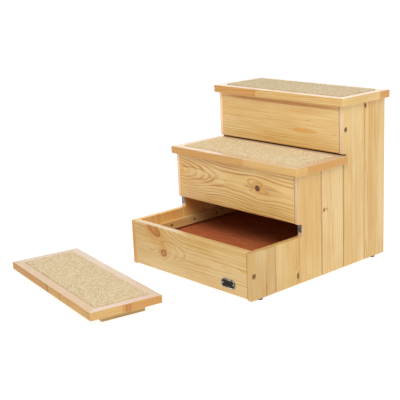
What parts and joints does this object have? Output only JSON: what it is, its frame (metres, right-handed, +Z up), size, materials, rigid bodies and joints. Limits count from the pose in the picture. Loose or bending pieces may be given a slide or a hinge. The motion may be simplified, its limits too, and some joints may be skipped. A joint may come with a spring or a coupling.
{
  "type": "mounting block",
  "caption": "Low stepped wooden mounting block: carpeted treads lift off the storage space inside, and the lowest tread lies on the floor in front.",
  "frame": {"origin": "on the floor, under the middle of the body's footprint, level with the undersides of its glides", "axes": "+X to the right across the steps when looking at their front, +Y from the lowest step to the highest, +Z up"},
  "size_m": [0.6842, 0.9481, 0.489],
  "materials": {
    "board_pine": "clear satin varnish on planed pine",
    "riser_pine": "clear satin varnish on planed pine",
    "batten_pine": "planed pine",
    "tread_frame": "clear satin varnish on finger-jointed pine",
    "tread_deck": "raw pine plywood",
    "floor_hardboard": "smooth brown hardboard",
    "carpet": "sand-coloured loop pile",
    "dark_steel": "black phosphated steel",
    "bronzed_steel": "bronzed furniture screw",
    "zinc_plate": "zinc-plated sheet steel",
    "glide_plastic": "moulded",
    "badge_metal": "bright rim, dark field, blank"
  },
  "bodies": {
    "carcass": {"back_board_1": "board_pine", "back_board_2": "board_pine", "back_board_3": "board_pine", "back_board_4": "board_pine", "back_board_5": "board_pine", "badge": "badge_metal", "badge_pins": "badge_metal", "floor_bearers": "batten_pine", "floor_panel": "floor_hardboard", "front_board": "riser_pine", "glides": "glide_plastic", "left_board_1": "board_pine", "left_board_2": "board_pine", "left_board_3": "board_pine", "left_board_4": "board_pine", "left_board_5": "board_pine", "left_board_6": "board_pine", "lower_batten_left": "batten_pine", "lower_batten_right": "batten_pine", "middle_batten_left": "batten_pine", "middle_batten_right": "batten_pine", "middle_riser": "riser_pine", "notch_plates": "zinc_plate", "rear_post_left": "batten_pine", "rear_post_right": "batten_pine", "right_board_1": "board_pine", "right_board_2": "board_pine", "right_board_3": "board_pine", "right_board_4": "board_pine", "right_board_5": "board_pine", "right_board_6": "board_pine", "side_screws": "bronzed_steel", "small_fasteners": "dark_steel", "top_riser": "riser_pine", "upper_batten_left": "batten_pine", "upper_batten_right": "batten_pine"},
    "lower_tread": {"lower_tread_carpet": "carpet", "lower_tread_cleats": "batten_pine", "lower_tread_deck": "tread_deck", "lower_tread_fasteners": "dark_steel", "lower_tread_front_rail": "tread_frame", "lower_tread_left_rail": "tread_frame", "lower_tread_rear_rail": "tread_frame", "lower_tread_right_rail": "tread_frame"},
    "middle_tread": {"middle_tread_carpet": "carpet", "middle_tread_cleats": "batten_pine", "middle_tread_deck": "tread_deck", "middle_tread_fasteners": "dark_steel", "middle_tread_front_rail": "tread_frame", "middle_tread_left_rail": "tread_frame", "middle_tread_rear_rail": "tread_frame", "middle_tread_right_rail": "tread_frame"},
    "top_tread": {"top_tread_carpet": "carpet", "top_tread_cleats": "batten_pine", "top_tread_deck": "tread_deck", "top_tread_fasteners": "dark_steel", "top_tread_front_rail": "tread_frame", "top_tread_left_rail": "tread_frame", "top_tread_rear_rail": "tread_frame", "top_tread_right_rail": "tread_frame"}
  },
  "joints": [
    {"name": "lower_tread_lift", "type": "slide", "parent": "carcass", "child": "lower_tread", "axis": [0, 0, 1], "range_m": [0, 0.25]},
    {"name": "middle_tread_tilt", "type": "hinge", "parent": "carcass", "child": "middle_tread", "pos_m": [0, 0.102, 0.3255], "axis": [-1, 0, 0], "range_deg": [0, 22]},
    {"name": "top_tread_lift", "type": "slide", "parent": "carcass", "child": "top_tread", "axis": [0, 0, 1], "range_m": [0, 0.25]}
  ]
}
